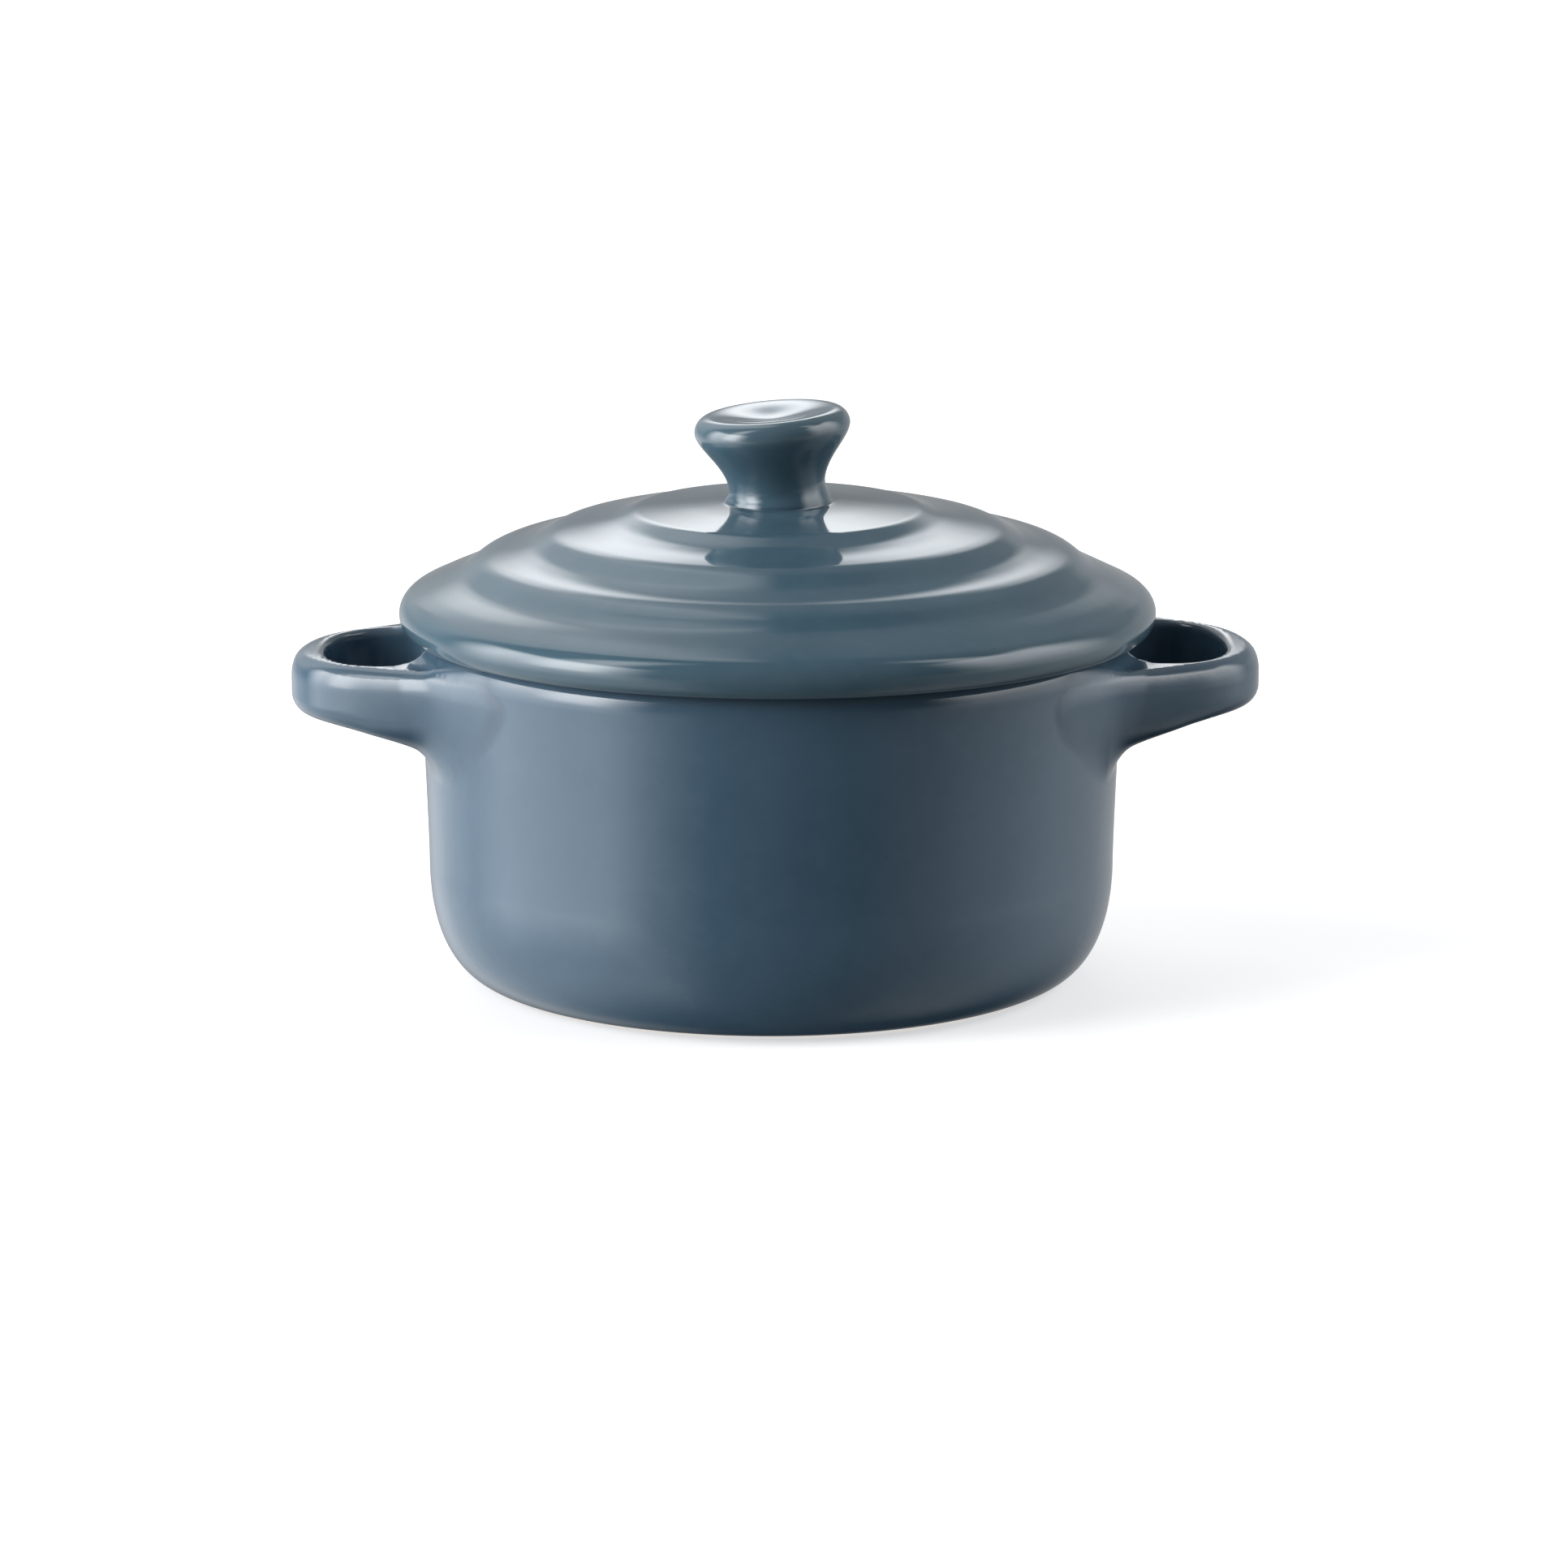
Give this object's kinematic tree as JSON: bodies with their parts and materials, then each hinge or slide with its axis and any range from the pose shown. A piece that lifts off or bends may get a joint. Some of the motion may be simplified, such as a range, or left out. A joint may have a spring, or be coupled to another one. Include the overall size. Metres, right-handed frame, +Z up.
{
  "type": "lidded ramekin",
  "caption": "Small round glazed stoneware baking dish with looped ear handles and a domed, stepped lift-off lid with a waisted knob.",
  "frame": {"origin": "middle of the foot ring, on the table that the bowl stands on, on the bowl's axis", "axes": "+Z up along the bowl's axis, +X towards the right-hand handle, so the handles lie along X"},
  "size_m": [0.1376, 0.1074, 0.0815],
  "materials": {
    "bowl_glaze": "gloss",
    "handle_glaze": "gloss",
    "lid_glaze": "gloss",
    "knob_glaze": "gloss"
  },
  "bodies": {
    "pot": {"bowl": "bowl_glaze", "handle_left": "handle_glaze", "handle_right": "handle_glaze"},
    "cover": {"lid": "lid_glaze", "knob": "knob_glaze"}
  },
  "joints": [
    {"name": "lid_lift", "type": "slide", "parent": "pot", "child": "cover", "axis": [0, 0, 1], "range_m": [0, 0.1]}
  ]
}
